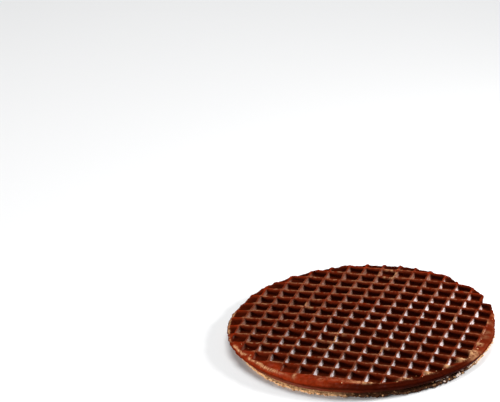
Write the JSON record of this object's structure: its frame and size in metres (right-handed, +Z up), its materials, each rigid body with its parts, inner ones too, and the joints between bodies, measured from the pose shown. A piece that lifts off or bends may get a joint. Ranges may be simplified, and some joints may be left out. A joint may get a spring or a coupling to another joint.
{
  "type": "stroopwafel",
  "caption": "Round caramel-filled waffle biscuit with a square grid of deep pits on both faces and a caramel layer between two thin waffle rounds.",
  "frame": {"origin": "bottom centre of the whole biscuit, on the level of the lower crests that it lies on", "axes": "+Z up, out of the domed upper face; X and Y along the ridges of the upper grid"},
  "size_m": [0.0992, 0.0992, 0.0071],
  "materials": {
    "top_waffle": "baked waffle, red-brown and shiny from butter and caramel",
    "caramel": "dark sticky caramel, glossy",
    "bottom_waffle": "baked waffle with a pale, crumbly cut edge"
  },
  "bodies": {
    "root": {"top_waffle": "top_waffle", "caramel": "caramel", "bottom_waffle": "bottom_waffle"}
  },
  "joints": []
}
